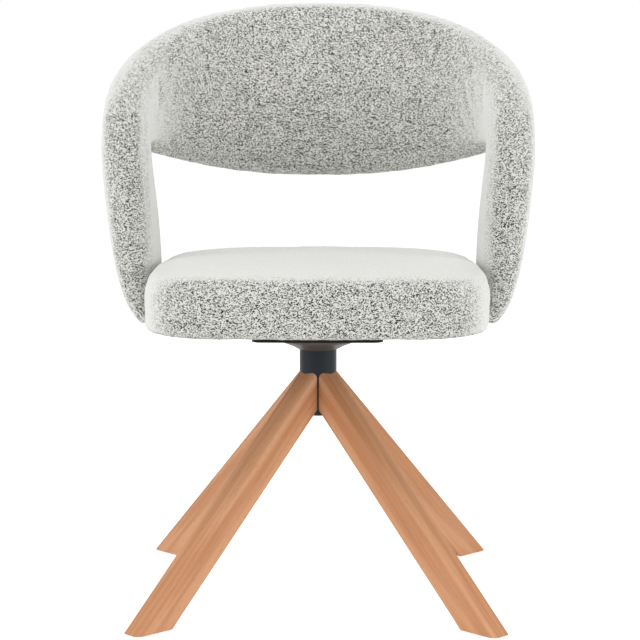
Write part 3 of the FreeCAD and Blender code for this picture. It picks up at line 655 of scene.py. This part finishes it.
def seatRing(height, inset):
    half = seat["half"] - inset
    low = -(seat["front"] - inset)
    high = seat["rear"] - inset
    share = half / seat["half"]
    bow = seat["bow"] * share
    near = seat["corner"] * share
    far = seat["rearCorner"] * share
    right = half - bow
    outline = []

    def arc(cx, cy, radius, start):
        for step in range(13):
            angle = math.radians(start + 90 * step / 12)
            outline.append((cx + radius * math.cos(angle), cy + radius * math.sin(angle)))

    def run(x0, y0, x1, y1, bulge):
        for step in range(1, 16):
            part = step / 16
            swell = 4 * part * (1 - part)
            outline.append((x0 + (x1 - x0) * part + bulge[0] * swell,
                            y0 + (y1 - y0) * part + bulge[1] * swell))

    low += bow
    high -= bow
    arc(right - near, low + near, near, -90)
    run(right, low + near, right, high - far, (bow, 0))
    arc(right - far, high - far, far, 0)
    run(right - far, high, far - right, high, (0, bow))
    arc(far - right, high - far, far, 90)
    run(-right, high - far, -right, low + near, (-bow, 0))
    arc(near - right, low + near, near, 180)
    run(near - right, low, right - near, low, (0, -bow))
    return [Vector((x, y, height)) for x, y in outline]


def makeSeatMesh():
    profile = []
    levels = seat["levels"]
    for (up, inset), (nextUp, nextInset) in zip(levels, levels[1:]):
        for step in range(4):
            share = step / 4
            profile.append((up + (nextUp - up) * share, inset + (nextInset - inset) * share))
    profile.append(levels[-1])
    for _ in range(3):  # rounds the profile between its levels
        profile = ([profile[0]]
                   + [((a[0] + 2 * b[0] + c[0]) / 4, (a[1] + 2 * b[1] + c[1]) / 4)
                      for a, b, c in zip(profile, profile[1:], profile[2:])]
                   + [profile[-1]])
    rings = []
    for up, inset in profile:
        height = seat["bottom"] + seat["thick"] * up
        rings.append(seatRing(height, seat["crown"] * inset))
    return tubeMesh("seatCushion", rings)


def onBoard(values, grow):  # which points lie inside the board's outline, seen from above
    across = np.abs(values[:, 0])
    along = values[:, 1]
    half, front, rear = [board[key] + grow for key in ("half", "front", "rear")]
    near, far = board["corner"], board["rearCorner"]
    inside = (across < half) & (along > -front) & (along < rear)
    outFront = (across > half - near) & (along < near - front)
    outRear = (across > half - far) & (along > rear - far)
    reachFront = np.hypot(across - (half - near), along - (near - front))
    reachRear = np.hypot(across - (half - far), along - (rear - far))
    return inside & ~(outFront & (reachFront > near)) & ~(outRear & (reachRear > far))


def letIn(mesh):  # the board and its nuts are let into the cushion from below
    values = points(mesh)
    hidden = onBoard(values, seat["boardRoom"]) & (values[:, 2] < board["nutTop"])
    values[hidden, 2] = board["nutTop"]
    setPoints(mesh, values)
    return mesh


def cleared(mesh, others, gap):  # the cushion's side gives way to the arms
    values = points(mesh)
    for other in others:
        tree = BVHTree.FromPolygons([vertex.co for vertex in other.vertices],
                                    [face.vertices for face in other.polygons])
        shape = points(other)
        low, high = shape.min(axis=0) - gap, shape.max(axis=0) + gap
        for index in np.flatnonzero(((values > low) & (values < high)).all(axis=1)):
            point = Vector(values[index])
            spot, normal, _, _ = tree.find_nearest(point)
            if (point - spot).dot(normal) < gap:
                moved = spot + normal * gap
                if abs(moved.x) < abs(point.x):
                    values[index] = moved
    setPoints(mesh, values)
    return mesh


# Rows of small pieces along a path: the thread in the seams, and the staples below

stitch = {"pitch": 0.0042, "length": 0.0030, "thick": 0.0007, "sink": 0.0002}
staple = {"pitch": 0.030, "length": 0.0100, "thick": 0.0011, "inset": 0.006, "proud": 0.0002,
          "notchGap": 0.006}


def treeNode(tree, kind, settings=None, values=None):
    made = tree.nodes.new(kind)
    for key, value in (settings or {}).items():
        setattr(made, key, value)
    for key, value in (values or {}).items():
        if isinstance(value, bpy.types.NodeSocket):
            tree.links.new(value, made.inputs[key])
        else:
            made.inputs[key].default_value = value
    return made


def rowTree():
    tree = bpy.data.node_groups.new("rowOfPieces", "GeometryNodeTree")
    number = "NodeSocketFloat"
    for label, kind in (("Path", "NodeSocketGeometry"), ("Pitch", number), ("Length", number),
                        ("Thickness", number), ("Material", "NodeSocketMaterial")):
        tree.interface.new_socket(label, in_out="INPUT", socket_type=kind)
    tree.interface.new_socket("Pieces", in_out="OUTPUT", socket_type="NodeSocketGeometry")
    given = treeNode(tree, "NodeGroupInput").outputs
    path = treeNode(tree, "GeometryNodeMeshToCurve", None, {"Mesh": given["Path"]})
    spots = treeNode(tree, "GeometryNodeCurveToPoints", {"mode": "LENGTH"},
                     {"Curve": path.outputs[0], "Length": given["Pitch"]})
    bead = treeNode(tree, "GeometryNodeMeshUVSphere", None,
                    {"Segments": 6, "Rings": 4, "Radius": 0.5})
    scale = treeNode(tree, "ShaderNodeCombineXYZ", None,
                     {0: given["Thickness"], 1: given["Thickness"], 2: given["Length"]})
    shaped = treeNode(tree, "GeometryNodeTransform", None,
                      {"Geometry": bead.outputs[0], "Scale": scale.outputs[0]})
    row = treeNode(tree, "GeometryNodeInstanceOnPoints", None,
                   {"Points": spots.outputs["Points"], "Instance": shaped.outputs[0],
                    "Rotation": spots.outputs["Rotation"]})
    real = treeNode(tree, "GeometryNodeRealizeInstances", None, {0: row.outputs[0]})
    painted = treeNode(tree, "GeometryNodeSetMaterial", None,
                       {"Geometry": real.outputs[0], "Material": given["Material"]})
    treeNode(tree, "NodeGroupOutput", None, {"Pieces": painted.outputs[0]})
    return tree


def addRow(name, tree, plan, paths, material):  # each path is its points and whether it closes
    mesh = bpy.data.meshes.new(name)
    corners = []
    edges = []
    for path, closes in paths:
        first = len(corners)
        corners += path
        edges += [(first + index, first + index + 1) for index in range(len(path) - 1)]
        if closes:
            edges.append((len(corners) - 1, first))
    mesh.from_pydata(corners, edges, [])
    item = bpy.data.objects.new(name, mesh)
    bpy.context.scene.collection.objects.link(item)
    row = item.modifiers.new("row", "NODES")
    row.node_group = tree
    names = {"Pitch": plan["pitch"], "Length": plan["length"], "Thickness": plan["thick"],
             "Material": material}
    for socket in tree.interface.items_tree:
        if socket.name in names:
            row[socket.identifier] = names[socket.name]
    made = evaluated(item)
    bpy.data.objects.remove(item)
    piece = addPiece(name, smoothed(made), material)
    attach(piece, "seat")
    return piece


def onSurface(path, meshes, sink):  # sets a path on the nearest cloth, a little below it
    trees = [BVHTree.FromPolygons([vertex.co for vertex in mesh.vertices],
                                  [face.vertices for face in mesh.polygons]) for mesh in meshes]
    placed = []
    for point in path:
        finds = [tree.find_nearest(point) for tree in trees]
        spot, normal, _, _ = min(finds, key=lambda find: find[3])
        placed.append(spot - normal * sink)
    return placed


# Dust cover: thin cloth stapled under the board, cut away round the plate and the brackets

cover = {"inset": 0.012, "room": 0.0905, "notchNear": 0.025, "notchFar": 0.089,
         "notchReach": 0.135, "thick": 0.0004, "top": 0.3798, "waves": 0.0006, "edge": 0.012}


def coverOutline(inset):
    half, front, rear = [board[key] - inset for key in ("half", "front", "rear")]
    near, far = board["corner"] - inset, board["rearCorner"] - inset
    turns = ((half - near, near - front, near, -90), (half - far, rear - far, far, 0),
             (far - half, rear - far, far, 90), (near - half, near - front, near, 180))
    outline = []
    for across, along, radius, start in turns:
        for step in range(17):
            angle = math.radians(start + 90 * step / 16)
            outline.append((across + radius * math.cos(angle),
                            along + radius * math.sin(angle)))
        if start == -90:
            outline.append("right")
        if start == 90:
            outline.append("left")
    return outline


def makeCover():
    half = board["half"] - cover["inset"]
    near, far, reach = -cover["notchNear"], cover["notchFar"], cover["notchReach"]
    outer = []
    for point in coverOutline(cover["inset"]):
        if point == "right":
            outer += [(half, near), (reach, near), (reach, far), (half, far)]
        elif point == "left":
            outer += [(-half, far), (-reach, far), (-reach, near), (-half, near)]
        else:
            outer.append(point)
    room = cover["room"]
    inner = [(-room, -room), (room, -room), (room, room), (-room, room)]
    work = bmesh.new()
    for loop in (outer, inner):
        corners = [work.verts.new((x, y, cover["top"])) for x, y in loop]
        for index, corner in enumerate(corners):
            if (corner.co - corners[index - 1].co).length > 1e-6:
                work.edges.new((corners[index - 1], corner))
    bmesh.ops.triangle_fill(work, use_beauty=True, use_dissolve=False, edges=work.edges)
    for _ in range(5):
        long = [edge for edge in work.edges if edge.calc_length() > cover["edge"]]
        bmesh.ops.subdivide_edges(work, edges=long, cuts=1)
        bmesh.ops.triangulate(work, faces=work.faces)
    for face in work.faces:
        if face.normal.z > 0:
            face.normal_flip()
    area = sum(face.calc_area() for face in work.faces)
    for vertex in work.verts:
        x, y = vertex.co.x, vertex.co.y
        wave = math.sin(x * 90) * math.sin(y * 75 + 1) * 0.6 + math.sin(x * 41 + y * 57) * 0.4
        vertex.co.z -= cover["waves"] * (0.5 + 0.5 * wave)
    mesh = bpy.data.meshes.new("dustCover")
    work.to_mesh(mesh)
    work.free()
    return smoothed(mesh), area


def staplePaths():
    depth = cover["top"] - cover["thick"] - cover["waves"] * 0.5 - staple["proud"]
    paths = [[]]
    for point in coverOutline(cover["inset"] + staple["inset"]):
        if isinstance(point, str):
            near = -cover["notchNear"] - staple["notchGap"]
            far = cover["notchFar"] + staple["notchGap"]
            side = board["half"] - cover["inset"] - staple["inset"]
            ends = [(side, near), (side, far)]
            if point == "left":
                ends = [(-side, far), (-side, near)]
            paths[-1].append(ends[0])
            paths.append([ends[1]])
        else:
            paths[-1].append(point)
    paths[0] = paths.pop() + paths[0]
    return [([Vector((x, y, depth)) for x, y in path], False) for path in paths]


# Weld beads that close the corners of the folded plate

weld = {"place": 0.0831, "thick": 0.0023, "ripple": 0.0002, "pitch": 0.0021, "bottom": 0.3567,
        "top": 0.3775}


def makeWelds():
    work = bmesh.new()
    for across, along in ((1, 1), (-1, 1), (-1, -1), (1, -1)):
        rings = []
        for step in range(61):
            share = step / 60
            height = weld["bottom"] + (weld["top"] - weld["bottom"]) * share
            radius = (weld["thick"] * (1 - 0.6 * abs(2 * share - 1) ** 14)
                      + weld["ripple"] * math.sin(math.tau * height / weld["pitch"]))
            turns = [math.tau * corner / 12 for corner in range(12)]
            rings.append([Vector((weld["place"] * across + radius * math.cos(turn),
                                  weld["place"] * along + radius * math.sin(turn), height))
                          for turn in turns])
        bead = tubeMesh("bead", rings)
        work.from_mesh(bead)
        bpy.data.meshes.remove(bead)
    mesh = bpy.data.meshes.new("plateWelds")
    work.to_mesh(mesh)
    work.free()
    return smoothed(mesh)


addCamera()
addWorld()
for lampName in ("key", "left", "right", "rim"):
    addLight(lampName, studio[lampName])

floorMesh = bpy.data.meshes.new("floor")
floorSides = 64
rim = [(studio["floorRadius"] * math.cos(math.tau * step / floorSides),
        studio["floorRadius"] * math.sin(math.tau * step / floorSides), 0)
       for step in range(floorSides)]
floorMesh.from_pydata(rim, [], [tuple(range(floorSides))])
floorPaint = Paint("floorPaper")
grain = floorPaint.noise(floorPaint.place(), 3.0, 2.0, 0.5)
floor = addPiece("floor", floorMesh, floorPaint.finish(
    {"Base Color": floorPaint.mixed(grain, (0.90, 0.90, 0.90, 1), (0.92, 0.92, 0.92, 1)),
     "Roughness": 0.9, "Specular IOR Level": 0.05,
     "Emission Color": (1, 1, 1, 1),
     "Emission Strength": (floorPaint.node("ShaderNodeLightPath")
                           * (studio["floorGlow"] - studio["floorBounce"])
                           + studio["floorBounce"])}))
print("studio ready")

cloth = makeBoucle()
thread = makeThread()
bandMesh = looped(seamed(puffed(makeBandMesh(), band["puff"])))
(rightSpot, rightWay), (leftSpot, leftWay) = seamPlane(1), seamPlane(-1)
backMesh = cutAt(bandMesh, "backPad", ((rightSpot, rightWay), (leftSpot, leftWay)))
armMesh = cutAt(bandMesh, "armPadRight", ((rightSpot, -rightWay),))
otherArm = cutAt(bandMesh, "armPadLeft", ((leftSpot, -leftWay),))
print("band shaped and cut at its seams")
seatMesh = puffed(makeSeatMesh(), seat["puff"])
seatMesh = creased(seatMesh, points(seatMesh)[:, 2] - seat["seam"], seat["seamDepth"],
                   seat["seamWidth"])
seatMesh = looped(letIn(cleared(seatMesh, (armMesh, otherArm), seat["armRoom"])))
backPad = addPiece("backPad", backMesh, cloth)
armRight = addPiece("armPadRight", armMesh, cloth)
armLeft = addPiece("armPadLeft", otherArm, cloth)
cushion = addPiece("seatCushion", seatMesh, cloth)
for piece, node in ((backPad, "back_pad"), (armRight, "arm_pad_right"),
                    (armLeft, "arm_pad_left"), (cushion, "seat_cushion")):
    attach(piece, "seat")
    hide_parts(node)
print("pads and cushion made")

rows = rowTree()
seatSeam = seatRing(seat["seam"], seat["crown"] * seat["seamInset"])
backSeam = sectionRing(backStation(band["seam"]))
otherSeam = [point * mirror for point in backSeam]
seams = [(onSurface(seatSeam, [seatMesh], stitch["sink"]), True),
         (onSurface(backSeam, [bandMesh], stitch["sink"]), True),
         (onSurface(otherSeam, [bandMesh], stitch["sink"]), True)]
threads = addRow("seamThread", rows, stitch, seams, thread)
coverMesh, coverArea = makeCover()
dustCover = addPiece("dustCover", coverMesh, makeDustCloth())
wall = dustCover.modifiers.new("wall", "SOLIDIFY")
wall.thickness = cover["thick"]
wall.offset = 1
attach(dustCover, "seat")
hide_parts("dust_cover")
staples = addRow("staples", rows, staple, staplePaths(), makeZinc("stapleSteel"))
print("seams sewn, cover stapled on")

legTurns = {"front_right": -45, "rear_right": 45, "rear_left": 135, "front_left": -135}
for place, turn in legTurns.items():
    dress(["leg_" + place], makeBeech("beech_" + place, turn))
hubPaint = makeSteel("hubPaint", tone(24, 32, 40), 0.3, 0.3)
blackPaint = makeSteel("blackPaint", tone(16, 16, 16), 0.45, 0.25)
# The swivel cup is black painted steel; its brownish grey is a painted reflection of the wood
# legs
cupPaintAndReflection = makeSteel("cupPaintAndReflection", tone(80, 74, 69), 0.4, 0.5)
dress(["hub_tube"] + ["leg_strap_" + place for place in legTurns], hubPaint)
dress(["seat_plate", "arm_bracket_left", "arm_bracket_right"], blackPaint)
dress(["swivel_cup"], cupPaintAndReflection)
welds = addPiece("plateWelds", makeWelds(), blackPaint)
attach(welds, "seat")
dress(["spindle", "retaining_washer", "retaining_ring", "thrust_washer", "leg_screws",
       "plate_bolts", "bracket_bolts", "shell_bolts", "tee_nuts"], makeZinc())
dress(["hub_cap"], makePlastic("blackPlastic", tone(32, 32, 33)))
dress(["upper_bush", "lower_bush", "slide_ring"], makePlastic("whiteNylon", tone(226, 224, 214)))
dress(["foot_glide_" + place for place in legTurns], makePlastic("glide", tone(120, 92, 70)))
dress(["seat_board", "band_shell"], makePlywood())
print("finishes on")
